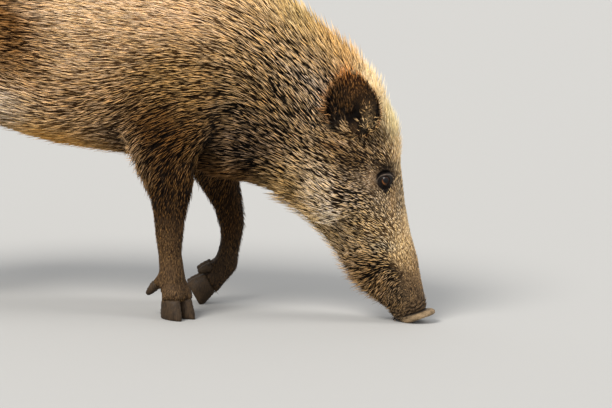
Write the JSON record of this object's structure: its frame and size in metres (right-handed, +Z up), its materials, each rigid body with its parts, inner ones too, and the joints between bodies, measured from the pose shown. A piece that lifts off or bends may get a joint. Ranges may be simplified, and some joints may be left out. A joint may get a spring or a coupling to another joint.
{
  "type": "wild boar",
  "caption": "Life-size still model of a young wild boar in summer coat, rooting with its snout disc on the ground and one forefoot flexed.",
  "frame": {"origin": "on the floor, under the middle of the boar's bounding box", "axes": "+X the way the boar faces, +Y its left side, +Z up"},
  "size_m": [0.962, 0.243, 0.5529],
  "materials": {
    "coat": "short coarse bristles, grizzled",
    "dark_coat": "short dense dark hair",
    "bare_skin": "bare wrinkled skin",
    "horn": "dull dark horn",
    "eye": "wet and glossy"
  },
  "bodies": {
    "root": {"dewclaw_left_fore_inner": "horn", "dewclaw_left_fore_outer": "horn", "dewclaw_left_hind_inner": "horn", "dewclaw_left_hind_outer": "horn", "dewclaw_right_fore_inner": "horn", "dewclaw_right_fore_outer": "horn", "dewclaw_right_hind_inner": "horn", "dewclaw_right_hind_outer": "horn", "ear_left": "dark_coat", "ear_right": "dark_coat", "eye_left": "eye", "eye_right": "eye", "head": "coat", "hoof_left_fore_inner": "horn", "hoof_left_fore_outer": "horn", "hoof_left_hind_inner": "horn", "hoof_left_hind_outer": "horn", "hoof_right_fore_inner": "horn", "hoof_right_fore_outer": "horn", "hoof_right_hind_inner": "horn", "hoof_right_hind_outer": "horn", "leg_left_fore": "dark_coat", "leg_left_hind": "dark_coat", "leg_right_fore": "dark_coat", "leg_right_hind": "dark_coat", "neck": "coat", "snout_disc": "bare_skin", "tail": "coat", "trunk": "coat"}
  },
  "joints": []
}
